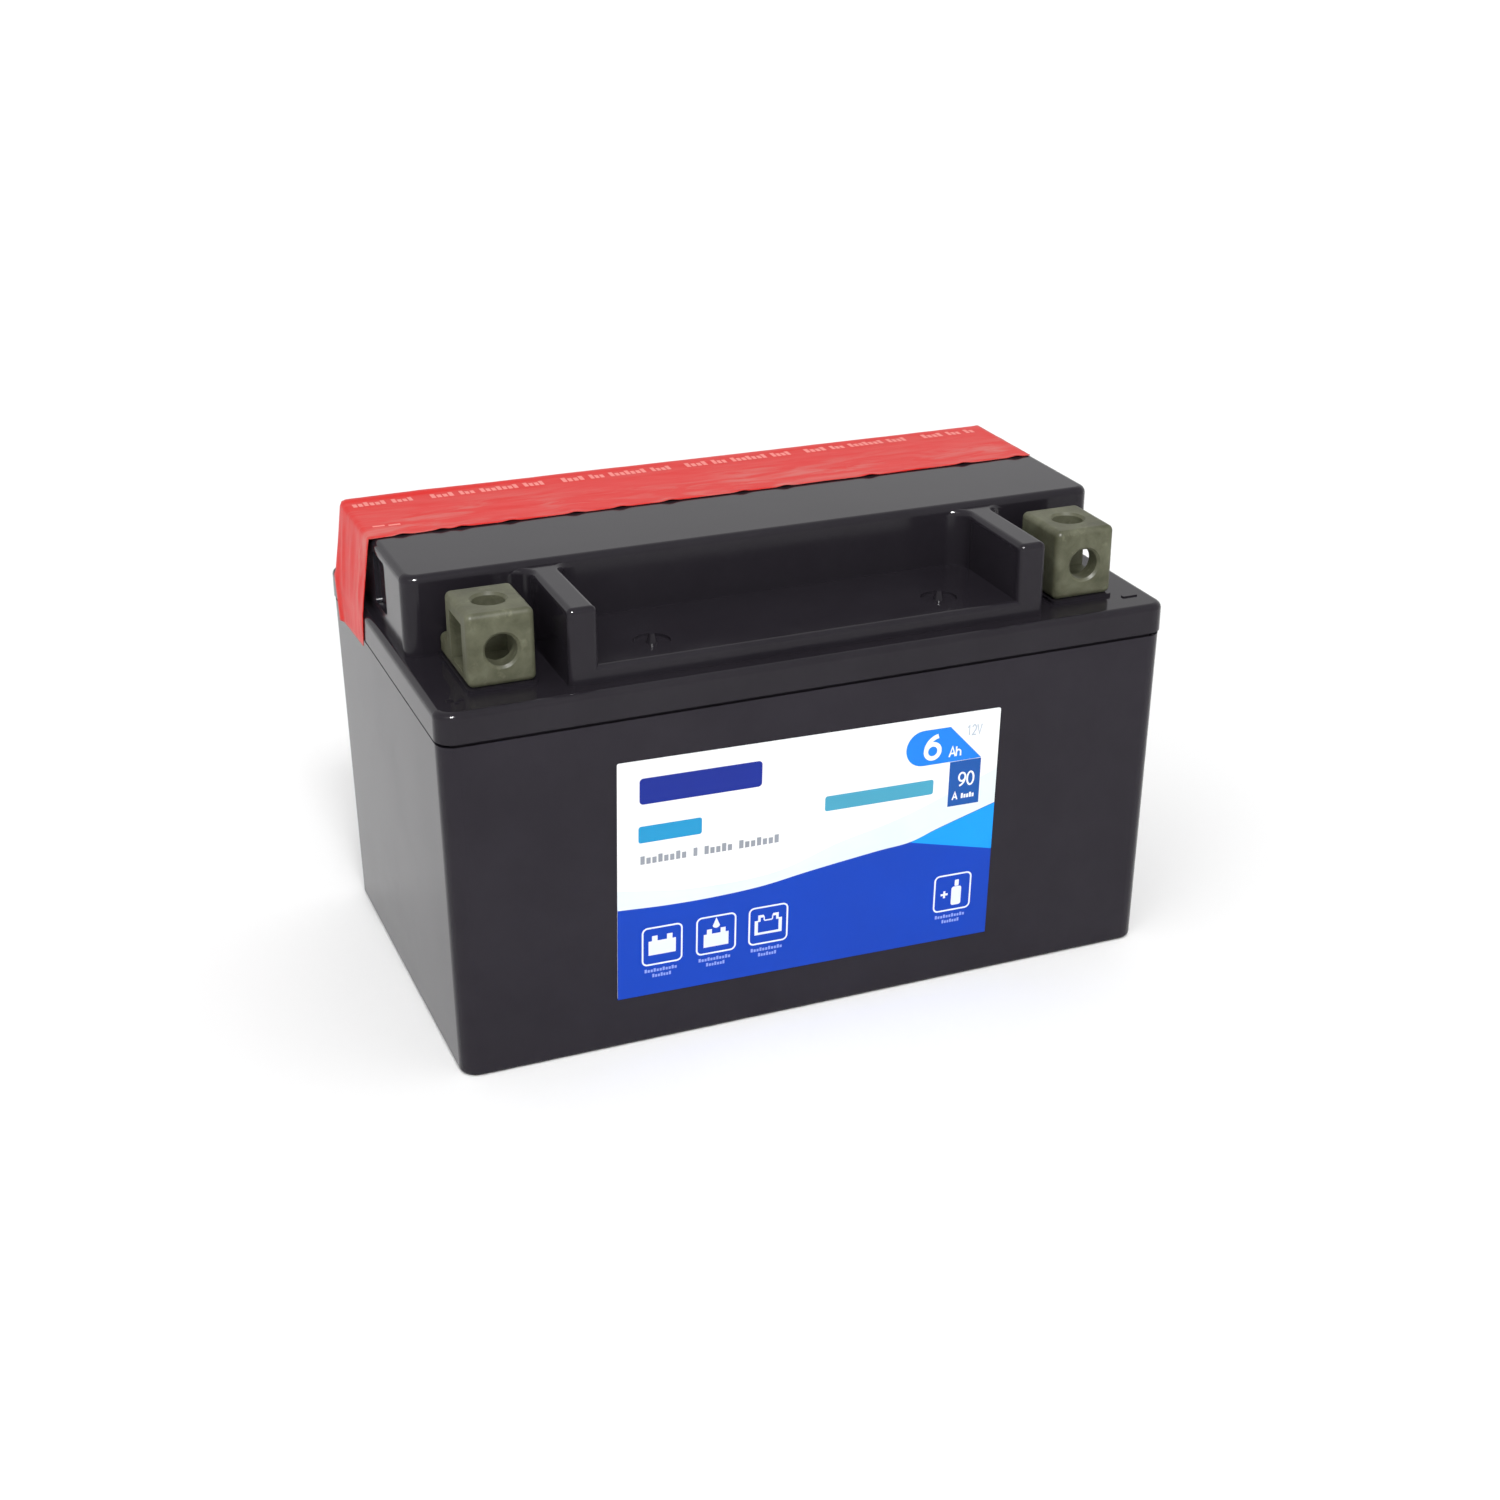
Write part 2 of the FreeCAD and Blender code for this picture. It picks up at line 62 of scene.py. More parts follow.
# ---------------------------------------------------------------- camera and light
CAMERA_AZIMUTH = -22.154        # degrees round the object, 0 looks along +Y
CAMERA_ELEVATION = 24.483
CAMERA_ROLL = -0.07
CAMERA_DISTANCE = 479.3 * MM
CAMERA_TARGET = Vector((4.32, 4.475, 35.945)) * MM
CAMERA_LENS = 53.68             # millimetres, on a 36 mm sensor
HORIZON = 0.95                  # radiance of the white room at eye level
ZENITH = 0.80                   # and straight overhead
FLOOR_SIZE = 12.0               # metres
FLOOR_GLOW = 0.28               # radiance that the far floor gives off by itself
FLOOR_GLOW_REACH = (0.25, 1.1)  # it starts and is full this far from the battery, in metres
SOFTBOXES = [                   # place, size, radiance, and whether it lights dull surfaces
    ((-0.18, -1.02, 1.30), 0.28, 42.0, True),
    ((-0.95, -0.75, 1.25), 0.55, 2.0, True),
    ((-0.30, -1.00, 1.30), 0.32, 420.0, False),
]

# ---------------------------------------------------------------- tape, in millimetres
FILM = 0.12                     # thickness of the film
FILM_GAP = 0.12                 # air under it
GRID = 0.75                     # spacing of the film's mesh
BACK_LAP = 2.6                  # the film laps this far over the deck's back edge
FLAP_BEND = ((11.9, 75.6), (37.0, 76.0))    # hanging end at the flange's edge, front and back
FLAP_CUT = ((13.5, 68.7), (34.6, 67.6))     # its cut edge, as (y, z)
FLAP_CREASES = ((4.6, 0.30, 0.9), (12.5, 0.16, 1.6), (20.5, 0.30, 1.2))  # across, height, width
CORNER_CUT = 2.8                # the deck's round corner pulls the film in by this much
CORNER_CUT_WIDTH = 6.5          # over this much of its width
EDGE_R = 1.5                    # rounding of the deck's edges
FOLD_SMOOTHING = 2              # passes that soften the film's folds
# places along the front edge where the film stands up
LIFTS = (-66.7, -58.9, -54.8, -44.7, -31.3, -21.6, -11.1, 4.9, 14.4, 33.8, 55.7, 68.5)
LIFT_HEIGHT = 0.30              # it stands up by this much at each of them
LIFT_WIDTH = 1.3                # half width of each lift
LIFT_REACH = 2.4                # and is flat again this far from the edge
CREASE_HEIGHT = 0.11            # long creases over the whole film
RIPPLE_HEIGHT = 0.05            # short ones between them
FOLD_HEIGHT = 0.07              # fine folds of the hanging end
EDGE_WANDER = 0.3               # the front edge isn't quite straight
BULGE = 0.6                     # the fold at the back stands off towards the left end
BULGE_WIDTH = 1.6               # half width of that bulge
PRINT_STARTS = (-83.4, -55.5, -27.4, 0.2, 27.9, 56.2)   # left end of each printed phrase
PRINT_WORDS = (5.0, 3.3, 8.2, 4.5)          # lengths of its words
PRINT_SPACE = 1.1               # between two words
PRINT_MARK = 1.15               # one word is a row of blocks about this far apart
PRINT_MARK_FILL = 0.75          # share of that distance a block fills
PRINT_HEIGHT = 1.9
PRINT_GAP = 0.03                # the print stands this far off the film
PRINT_MARGINS = (1.5, 3.0)      # bare film at the deck's left end and at the right end
PRINT_ROW = 19.8                # across the film, from its front edge
STRAY_MARKS = ((-71.0, 6.3), (-67.9, 6.0))  # part of the next row, near the left corner
STRAY_SIZE = (2.4, 0.8)

# ---------------------------------------------------------------- label, in millimetres
LABEL_TILT = math.radians(1.2)  # the label is stuck on slightly askew
CASE_DRAFT = math.atan2(0.65, 69.5)     # the case's front wall leans in towards the base
INK = 0.02                      # thickness of one printed layer
STROKE_STEP = 0.2               # crossing strokes of a letter lie this many layers apart
PAPER_FRONT = 0.075             # half the label's thickness
LABEL_HALF_W = 40.0
LABEL_HALF_H = 25.2
CURVE_STEPS = 10                # straight pieces in a quarter turn
TALL_MARK = 1.35                # every third block of a printed word is this much taller
LABEL_MARK_FILL = 0.72          # share of its space that a block fills
SIGN_SIZE = 8.4                 # frame of a pictogram
SIGN_LINE = 0.34                # thickness of its line
SIGN_CORNER_R = 1.2
# centres of the four pictograms
SIGNS = ((-30.9, -14.6), (-19.7, -14.4), (-8.7, -14.3), (31.8, -14.5))
# left end, from the centre, and length of the two lines of small print under each
SIGN_PRINT = ((-3.6, -5.7, 6.8), (-2.0, -6.9, 4.0))
SIGN_PRINT_HEIGHT = 0.55
SIGN_PRINT_PITCH = 0.6


# ---------------------------------------------------------------- materials
PRINT_GLOSS = 0.15              # specular level of ink and paper


def new_material(name):
    material = bpy.data.materials.new(name)
    material.use_nodes = True
    tree = material.node_tree
    return material, tree, tree.nodes["Principled BSDF"]


def add(tree, kind, inputs=None, **settings):
    """Adds a shader node; an input is set to a value, or linked if given a socket."""
    node = tree.nodes.new("ShaderNode" + kind)
    for key, value in settings.items():
        setattr(node, key, value)
    for key, value in (inputs or {}).items():
        if isinstance(value, bpy.types.NodeSocket):
            tree.links.new(value, node.inputs[key])
        else:
            node.inputs[key].default_value = value
    return node


def place(tree, stretch=(1, 1, 1)):
    """Object coordinates, in metres, scaled by `stretch`."""
    coordinates = add(tree, "TexCoord")
    scaled = add(tree, "Mapping", {"Vector": coordinates.outputs["Object"], "Scale": stretch})
    return scaled.outputs["Vector"]


def grain(tree, where, scale, detail=3.0, roughness=0.5, distortion=0.0):
    node = add(tree, "TexNoise", {"Vector": where, "Scale": scale, "Detail": detail,
                                  "Roughness": roughness, "Distortion": distortion})
    return node.outputs["Fac"]


def spread(tree, value, low, high, from_low=0.3, from_high=0.7):
    """Remaps a noise value, so that its middle range fills low..high."""
    node = add(tree, "MapRange", {"Value": value, "From Min": from_low, "From Max": from_high,
                                  "To Min": low, "To Max": high})
    return node.outputs["Result"]


def blend_colours(tree, factor, first, second):
    node = add(tree, "Mix", data_type="RGBA")
    tree.links.new(factor, node.inputs["Factor"])
    for socket, colour in ((node.inputs[6], first), (node.inputs[7], second)):
        if isinstance(colour, bpy.types.NodeSocket):
            tree.links.new(colour, socket)
        else:
            socket.default_value = (*colour, 1)
    return node.outputs[2]


def bump(tree, height, distance, below=None):
    """Bump of `distance` millimetres; `below` is a bump that this one goes over."""
    inputs = {"Height": height, "Distance": distance * MM}
    if below is not None:
        inputs["Normal"] = below
    return add(tree, "Bump", inputs).outputs["Normal"]


def finish_shader(tree, shader, colour, roughness, normal, **values):
    tree.links.new(colour, shader.inputs["Base Color"])
    tree.links.new(roughness, shader.inputs["Roughness"])
    tree.links.new(normal, shader.inputs["Normal"])
    for key, value in values.items():
        shader.inputs[key.replace("_", " ")].default_value = value


def moulded_plastic(name, dark, light):
    """Glossy black polypropylene: slow waves from the mould and a fine orange peel."""
    material, tree, shader = new_material(name)
    where = place(tree)
    waves = grain(tree, place(tree, (1, 1, 0.35)), 26, 2.0)
    peel = grain(tree, where, 1100, 2.0)
    haze = grain(tree, where, 48, 5.0, 0.62)
    scuffs = grain(tree, place(tree, (1, 1, 6)), 160, 4.0, 0.6, 0.4)
    colour = blend_colours(tree, spread(tree, haze, 0, 1), dark, light)
    worn = add(tree, "Math", {0: spread(tree, haze, 0.09, 0.15), 1: spread(tree, scuffs, 0, 0.03)},
               operation="ADD")
    normal = bump(tree, peel, 0.003, bump(tree, waves, 0.08))
    finish_shader(tree, shader, colour, worn.outputs["Value"], normal, IOR=1.26)
    return material


def cast_lead(name, dark, light):
    """Grey-green cast lead: cloudy oxide, fine sand and pale rubbed spots."""
    material, tree, shader = new_material(name)
    where = place(tree)
    clouds = grain(tree, where, 170, 6.0, 0.62, 0.3)
    rubbed = grain(tree, where, 420, 4.0, 0.6)
    sand = grain(tree, where, 2200, 3.0)
    colour = blend_colours(tree, spread(tree, clouds, 0, 1, 0.34, 0.68), dark, light)
    pale = tuple(1.5 * channel for channel in light)
    speckled = blend_colours(tree, spread(tree, rubbed, 0, 0.6, 0.60, 0.76), colour, pale)
    rough = spread(tree, clouds, 0.36, 0.50)
    normal = bump(tree, sand, 0.020, bump(tree, clouds, 0.10))
    finish_shader(tree, shader, speckled, rough, normal, IOR=1.20)
    return material


def red_film(name):
    """Red adhesive film, paler in streaky patches and towards its front: partly whitened film where it
    has been pulled and creased, partly painted sheen.
    """
    material, tree, shader = new_material(name)
    streaks = grain(tree, place(tree, (0.22, 1, 0.4)), 330, 5.0, 0.6, 1.0)
    clouds = grain(tree, place(tree, (0.45, 1, 1)), 85, 4.0, 0.6)
    fine = grain(tree, place(tree, (0.3, 1, 1)), 1500, 2.0)
    depth = add(tree, "SeparateXYZ", {"Vector": place(tree)}).outputs["Y"]
    # paler towards the front and in streaky patches: partly whitened film, partly painted sheen on its
    # creases
    paler_towards_front = spread(tree, depth, 1.0, 0.25, 14 * MM, 30 * MM)
    patches = add(tree, "Math", {0: spread(tree, streaks, 0.15, 1, 0.44, 0.62),
                                 1: spread(tree, clouds, 0.15, 1, 0.38, 0.60)},
                  operation="MULTIPLY")
    milky_and_sheen = add(tree, "Math", {0: patches.outputs["Value"], 1: paler_towards_front}, operation="MULTIPLY")
    colour = blend_colours(tree, milky_and_sheen.outputs["Value"], (0.64, 0.006, 0.003),
                           (0.61, 0.130, 0.115))
    normal = bump(tree, fine, 0.004, bump(tree, streaks, 0.035))
    finish_shader(tree, shader, colour, spread(tree, clouds, 0.32, 0.46), normal, IOR=1.24)
    return material


def printed(name, colour):
    """Ink or paper with a satin finish and a faint uneven tone."""
    material, tree, shader = new_material(name)
    where = place(tree)
    fibre = grain(tree, where, 2600, 3.0)
    tone = grain(tree, where, 60, 3.0)
    deeper = tuple(0.93 * channel for channel in colour)
    mixed = blend_colours(tree, spread(tree, tone, 0, 1), colour, deeper)
    finish_shader(tree, shader, mixed, spread(tree, tone, 0.36, 0.46), bump(tree, fibre, 0.002),
                  Specular_IOR_Level=PRINT_GLOSS)
    return material


def dull_solid(name, dark, light, scale, relief, rough, metallic=0.0):
    """Paste, glass mat, rubber and plain lead: a two-tone grain with some relief."""
    material, tree, shader = new_material(name)
    where = place(tree)
    coarse = grain(tree, where, scale, 5.0, 0.6)
    fine = grain(tree, where, scale * 6, 3.0)
    colour = blend_colours(tree, spread(tree, coarse, 0, 1), dark, light)
    roughness = spread(tree, fine, rough - 0.06, rough + 0.06)
    normal = bump(tree, fine, relief / 2, bump(tree, coarse, relief))
    finish_shader(tree, shader, colour, roughness, normal, Metallic=metallic)
    return material


def studio_floor(name):
    """White floor, lit from inside further out, where the lamps don't reach."""
    material, tree, shader = new_material(name)
    tone = grain(tree, place(tree), 3, 2.0)
    distance = add(tree, "VectorMath", {0: place(tree)}, operation="LENGTH").outputs["Value"]
    glow = spread(tree, distance, 0, FLOOR_GLOW, *FLOOR_GLOW_REACH)
    tree.links.new(glow, shader.inputs["Emission Strength"])
    colour = blend_colours(tree, tone, (0.93, 0.93, 0.93), (0.95, 0.95, 0.95))
    tree.links.new(colour, shader.inputs["Base Color"])
    shader.inputs["Roughness"].default_value = 0.9
    shader.inputs["Specular IOR Level"].default_value = 0.1
    return material


# ---------------------------------------------------------------- CAD nodes
def assign(material, *nodes):
    for name in nodes:
        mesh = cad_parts[name].data
        mesh.materials.clear()
        mesh.materials.append(material)


def nodes_named(start):
    return [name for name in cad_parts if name.startswith(start)]


def dress_cad_nodes():
    assign(moulded_plastic("case_plastic", (0.0162, 0.0136, 0.0192), (0.0205, 0.0176, 0.0240)),
           "case")
    assign(moulded_plastic("lid_plastic", (0.0158, 0.0136, 0.0178), (0.0198, 0.0174, 0.0222)),
           "lid")
    assign(cast_lead("terminal_lead", (0.070, 0.071, 0.044), (0.135, 0.138, 0.092)),
           "positive_terminal", "negative_terminal")
    assign(cast_lead("post_lead", (0.13, 0.13, 0.12), (0.22, 0.22, 0.21)),
           "positive_post", "negative_post")
    assign(dull_solid("seal_rubber", (0.012, 0.012, 0.012), (0.02, 0.02, 0.02), 900, 0.02, 0.6),
           "positive_post_seal", "negative_post_seal")
    assign(dull_solid("positive_paste", (0.10, 0.035, 0.018), (0.17, 0.065, 0.03), 500, 0.10, 0.8),
           *nodes_named("positive_plates"))
    assign(dull_solid("negative_paste", (0.13, 0.14, 0.14), (0.22, 0.23, 0.23), 500, 0.10, 0.75),
           *nodes_named("negative_plates"))
    assign(dull_solid("glass_mat", (0.72, 0.72, 0.68), (0.85, 0.85, 0.82), 700, 0.08, 0.85),
           *nodes_named("separators"))
    assign(dull_solid("strap_lead", (0.16, 0.165, 0.17), (0.27, 0.275, 0.28), 350, 0.08, 0.5, 0.6),
           *nodes_named("positive_strap"), *nodes_named("negative_strap"),
           *nodes_named("intercell_weld"))
    assign(printed("label_paper", (0.93, 0.94, 0.95)), "front_label")


# ---------------------------------------------------------------- mesh helpers
def new_piece(name, mesh, body, material):
    piece = bpy.data.objects.new(name, mesh)
    bpy.context.scene.collection.objects.link(piece)
    mesh.materials.append(material)
    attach(piece, body)
    return piece


def smoothstep(value):
    value = min(max(value, 0.0), 1.0)
    return value * value * (3 - 2 * value)


def arc(centre_x, centre_y, radius_x, radius_y, start, end):
    """Points on an arc, from `start` to `end` degrees."""
    steps = max(2, round(abs(end - start) / 90 * CURVE_STEPS))
    points = []
    for step in range(steps + 1):
        angle = math.radians(start + (end - start) * step / steps)
        points.append((centre_x + radius_x * math.cos(angle),
                       centre_y + radius_y * math.sin(angle)))
    return points


class Path:
    """A line through points, read by the distance along it."""

    def __init__(self, points):
        self.points = [Vector(p) for p in points]
        self.marks = [0.0]
        for here, following in zip(self.points, self.points[1:]):
            self.marks.append(self.marks[-1] + (following - here).length)

    @property
    def length(self):
        return self.marks[-1]

    def at(self, distance):
        for index in range(1, len(self.marks)):
            if distance <= self.marks[index] or index == len(self.marks) - 1:
                run = self.marks[index] - self.marks[index - 1]
                share = (distance - self.marks[index - 1]) / run
                return self.points[index - 1].lerp(self.points[index], share)


# ---------------------------------------------------------------- seal tape
LID_LOW, LID_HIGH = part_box("lid")
TAPE_LOW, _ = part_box("seal_tape")


def deck_outline():
    """Left end and back of the lid's raised deck, from the points of its flat top."""
    near_top = LID_HIGH.z - 0.1 * MM
    top = [v.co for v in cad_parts["lid"].data.vertices if v.co.z > near_top]
    return (min(co.x for co in top) / MM - EDGE_R, max(co.y for co in top) / MM + EDGE_R)


DECK_LEFT, DECK_BACK = deck_outline()
FILM_Z = LID_HIGH.z / MM + FILM_GAP
FILM_LEFT = DECK_LEFT - FILM_GAP
FILM_BACK = DECK_BACK + FILM_GAP
TAPE_RIGHT = -DECK_LEFT - EDGE_R        # the film stops where the deck's edge rounds off
TAPE_FRONT = TAPE_LOW.y / MM
FLANGE_LEFT = LID_LOW.x / MM - FILM_GAP
ROOF_LENGTH = TAPE_RIGHT - FILM_LEFT


def over_deck():
    """The film's line across the deck and over its back edge, as (y, z)."""
    inset = EDGE_R + FILM_GAP
    bend = arc(FILM_BACK - inset, FILM_Z - inset, inset, inset, 90, 0)
    return Path([(TAPE_FRONT, FILM_Z)] + bend + [(FILM_BACK, FILM_Z - inset - BACK_LAP)])


DECK_LINE = over_deck()
STRIP_WIDTH = DECK_LINE.length
BACK_FOLD = STRIP_WIDTH - BACK_LAP - math.pi / 4 * (EDGE_R + FILM_GAP)


def roof_end(across):
    """Where the film goes over the deck's left edge; it cuts the round back corner."""
    share = smoothstep((across - STRIP_WIDTH + CORNER_CUT_WIDTH) / CORNER_CUT_WIDTH)
    return FILM_LEFT + CORNER_CUT * share


def between(ends, share):
    """Point on the hanging end, `share` of the way from its front edge to its back edge."""
    front, back = ends
    return Vector((FLANGE_LEFT, front[0] + (back[0] - front[0]) * share,
                   front[1] + (back[1] - front[1]) * share))


def film_point(along, across):
    """Unwrinkled film: `along` starts at its right end, `across` at its front edge."""
    over = DECK_LINE.at(across)
    end = roof_end(across)
    if along <= ROOF_LENGTH:
        return Vector((TAPE_RIGHT - along * (TAPE_RIGHT - end) / ROOF_LENGTH, over.x, over.y))
    share = across / STRIP_WIDTH
    hanging = Path([(end, over.x, over.y), between(FLAP_BEND, share),
                    between(FLAP_CUT, share)])
    return hanging.at(min(along - ROOF_LENGTH, hanging.length))


def flap_length(across):
    """Length of the hanging end at this distance from the film's front edge."""
    over = DECK_LINE.at(across)
    share = across / STRIP_WIDTH
    bend = between(FLAP_BEND, share)
    slope = (bend - Vector((roof_end(across), over.x, over.y))).length
    return slope + (between(FLAP_CUT, share) - bend).length


def flap_folds(along, across):
    """Height of the folds in the hanging end; they fade out towards its cut edge."""
    down = along - ROOF_LENGTH
    hanging = smoothstep((down - 1) / 5)
    hanging *= 1 - 0.8 * smoothstep((down - 12) / 6)
    folds = FOLD_HEIGHT * abs(noise.noise(Vector((along / 9, across / 3.0, 9.4))))
    for spot, ridge, width in FLAP_CREASES:
        wander = 0.5 * noise.noise(Vector((along / 8, spot, 2.2)))
        folds += ridge * math.exp(-((across - spot - wander) / width) ** 2)
    return hanging * folds


def film_lift(along, across):
    """How far the film stands off: creases, lifts at the front, a bulge along the back fold."""
    x = TAPE_RIGHT - along
    # the divisors are the spacing of the creases and ripples, longer along the film than across
    crease = noise.noise(Vector((along / 19 + across / 7, across / 3.4 - along / 40, 1.3)))
    ripple = noise.noise(Vector((along / 6 - across / 5, across / 2.6, 5.1)))
    height = CREASE_HEIGHT * max(crease, 0) + RIPPLE_HEIGHT * max(ripple, 0)
    near_front = 1 - smoothstep(across / LIFT_REACH)
    for spot in LIFTS:
        height += LIFT_HEIGHT * near_front * math.exp(-((x - spot) / LIFT_WIDTH) ** 2)
    height += BULGE * smoothstep(along / ROOF_LENGTH) * math.exp(
        -((across - BACK_FOLD) / BULGE_WIDTH) ** 2)
    return height + flap_folds(along, across)


def film_grid():
    """Evenly spaced rows of (along, across) over the whole film."""
    roof_rows = round(ROOF_LENGTH / GRID)
    flap_rows = round(flap_length(0) / GRID)
    columns = round(STRIP_WIDTH / GRID)
    spots = [STRIP_WIDTH * column / columns for column in range(columns + 1)]
    grid = [[(ROOF_LENGTH * row / roof_rows, across) for across in spots]
            for row in range(roof_rows + 1)]
    grid += [[(ROOF_LENGTH + flap_length(across) * row / flap_rows, across) for across in spots]
             for row in range(1, flap_rows + 1)]
    return grid


def lay_film(shape):
    """Adds the unwrinkled film to the shape; gives its rows of vertices and their lifts."""
    rows = []
    lifts = {}
    for line in film_grid():
        row = []
        for along, across in line:
            wander = EDGE_WANDER * noise.noise(Vector((along / 9, 3.7, 0)))
            shifted = max(across + wander * (1 - smoothstep(across / 3)), 0.0)
            vert = shape.verts.new(film_point(along, shifted) * MM)
            lifts[vert] = film_lift(along, across) * MM
            row.append(vert)
        rows.append(row)
    for upper, lower in zip(rows, rows[1:]):
        for index in range(len(upper) - 1):
            shape.faces.new((upper[index], lower[index], lower[index + 1], upper[index + 1]))
    return rows, lifts


def soften_folds(shape):
    inner = [v for v in shape.verts if not v.is_boundary]
    for _ in range(FOLD_SMOOTHING):
        bmesh.ops.smooth_vert(shape, verts=inner, factor=0.5,
                              use_axis_x=True, use_axis_y=True, use_axis_z=True)


def film_mesh():
    """Smooth mesh of the film; its folds are softened, then the wrinkles are raised."""
    mesh = bpy.data.meshes.new("tape_film")
    shape = bmesh.new()
    rows, lifts = lay_film(shape)
    soften_folds(shape)
    shape.normal_update()
    if rows[1][1].normal.z < 0:
        bmesh.ops.reverse_faces(shape, faces=shape.faces)
        shape.normal_update()
    for vert, lift in lifts.items():
        vert.co += vert.normal * lift
    for face in shape.faces:
        face.smooth = True
    shape.to_mesh(mesh)
    shape.free()
    return mesh


def make_tape():
    tape = new_piece("tape_film", film_mesh(), "tape", red_film("tape_film"))
    thickness = tape.modifiers.new("thickness", "SOLIDIFY")
    thickness.thickness = FILM * MM
    thickness.offset = 1
    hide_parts("seal_tape")


def mark_height(height, mark):
    """Height of one block in a printed word."""
    return height * (TALL_MARK if mark % 3 == 0 else 1.0)


def add_mark(shape, x, across, width, height):
    """One small printed block that lies on the film."""
    corners = []
    for side_x, side in ((0, 0), (width, 0), (width, height), (0, height)):
        along = TAPE_RIGHT - x - side_x
        lift = film_lift(along, across + side) + FILM + PRINT_GAP
        point = film_point(along, across + side) + Vector((0, 0, lift))
        corners.append(shape.verts.new(point * MM))
    shape.faces.new(corners)


def make_tape_print():
    """Rows of small plain blocks stand for the phrase printed along the film."""
    mesh = bpy.data.meshes.new("tape_print")
    shape = bmesh.new()
    left_end = FILM_LEFT + PRINT_MARGINS[0]
    right_end = TAPE_RIGHT - PRINT_MARGINS[1]
    for start in PRINT_STARTS:
        for word in PRINT_WORDS:
            marks = round(word / PRINT_MARK)
            pitch = word / marks
            for mark in range(marks):
                x = start + mark * pitch
                if left_end < x < right_end:
                    add_mark(shape, x, PRINT_ROW, PRINT_MARK_FILL * pitch,
                             mark_height(PRINT_HEIGHT, mark))
            start += word + PRINT_SPACE
    for x, across in STRAY_MARKS:
        add_mark(shape, x, across, *STRAY_SIZE)
    shape.to_mesh(mesh)
    shape.free()
    new_piece("tape_print", mesh, "tape", printed("tape_print", (0.84, 0.25, 0.22)))


# ---------------------------------------------------------------- front label
def label_frame():
    """Centre of the label's face, and its right, up and outward directions."""
    low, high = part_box("front_label")
    out = Vector((0, -math.cos(CASE_DRAFT), -math.sin(CASE_DRAFT)))
    rise = Vector((0, -math.sin(CASE_DRAFT), math.cos(CASE_DRAFT)))
    sideways = Vector((1, 0, 0))
    right = sideways * math.cos(LABEL_TILT) - rise * math.sin(LABEL_TILT)
    up = sideways * math.sin(LABEL_TILT) + rise * math.cos(LABEL_TILT)
    return (low + high) / 2, right, up, out


LABEL_CENTRE, LABEL_RIGHT, LABEL_UP, LABEL_OUT = label_frame()


def on_label(point, lift):
    """Place of a label point (u, v) or (u, v, extra layers), `lift` millimetres off the paper."""
    u, v, *extra = point
    lift += sum(extra) * INK
    return LABEL_CENTRE + (LABEL_RIGHT * u + LABEL_UP * v + LABEL_OUT * (PAPER_FRONT + lift)) * MM


def rounded_box(u, v, width, height, radius):
    """Outline of a rectangle with round corners, centred on (u, v)."""
    outline = []
    for side_u, side_v, start in ((1, 1, 0), (-1, 1, 90), (-1, -1, 180), (1, -1, 270)):
        outline += arc(u + side_u * (width / 2 - radius), v + side_v * (height / 2 - radius),
                       radius, radius, start, start + 90)
    return outline


def stroke(points, width):
    """Quads along a line of points, `width` wide."""
    path = [Vector(p) for p in points]
    sides = []
    for index, here in enumerate(path):
        before = path[max(index - 1, 0)]
        after = path[min(index + 1, len(path) - 1)]
        run_in = (here - before).normalized() if here != before else (after - here).normalized()
        run_out = (after - here).normalized() if here != after else run_in
        along = (run_in + run_out).normalized()
        across = Vector((-along.y, along.x))
        reach = width / 2 / max(abs(across.dot(Vector((-run_in.y, run_in.x)))), 0.5)
        sides.append((here + across * reach, here - across * reach))
    return [(sides[i][0], sides[i + 1][0], sides[i + 1][1], sides[i][1])
            for i in range(len(sides) - 1)]


def ring(outer, inner):
    """Quads between two outlines that have the same number of points."""
    count = len(outer)
    return [(outer[i], outer[(i + 1) % count], inner[(i + 1) % count], inner[i])
            for i in range(count)]


def ink(name, faces, layer, colour):
    """A printed layer on the label, from flat faces given in label millimetres."""
    mesh = bpy.data.meshes.new(name)
    shape = bmesh.new()
    for outline in faces:
        shape.faces.new([shape.verts.new(on_label(p, layer * INK)) for p in outline])
    bmesh.ops.remove_doubles(shape, verts=shape.verts, dist=0.002 * MM)
    shape.normal_update()
    for face in shape.faces:
        if face.normal.dot(LABEL_OUT) < 0:
            face.normal_flip()
    bmesh.ops.triangulate(shape, faces=[f for f in shape.faces if len(f.verts) > 4])
    raised = bmesh.ops.extrude_face_region(shape, geom=shape.faces[:])
    verts = [g for g in raised["geom"] if isinstance(g, bmesh.types.BMVert)]
    bmesh.ops.translate(shape, verts=verts, vec=LABEL_OUT * (INK * MM))
    bmesh.ops.recalc_face_normals(shape, faces=shape.faces)
    shape.to_mesh(mesh)
    shape.free()
    new_piece(name, mesh, "battery", printed(name, colour))


GLYPHS = {
    "0": [arc(0.35, 0.5, 0.35, 0.5, 0, 360)],
    "1": [[(0.1, 0.78), (0.4, 1.0), (0.4, 0.0)]],
    "2": [arc(0.35, 0.68, 0.33, 0.32, 160, -40) + [(0.02, 0.0), (0.72, 0.0)]],
    "6": [arc(0.35, 0.32, 0.35, 0.32, 0, 360), arc(0.75, 0.32, 0.75, 0.68, 100, 180)],
    "9": [arc(0.35, 0.68, 0.35, 0.32, 0, 360), arc(-0.05, 0.68, 0.75, 0.68, 0, -80)],
    "A": [[(0.0, 0.0), (0.4, 1.0), (0.8, 0.0)], [(0.15, 0.33), (0.65, 0.33)]],
    "V": [[(0.0, 1.0), (0.4, 0.0), (0.8, 1.0)]],
    "h": [[(0.0, 0.0), (0.0, 1.0)], arc(0.28, 0.36, 0.28, 0.28, 180, 0) + [(0.56, 0.0)]],
}
GLYPH_ADVANCE = 0.92            # from one figure to the next, in heights


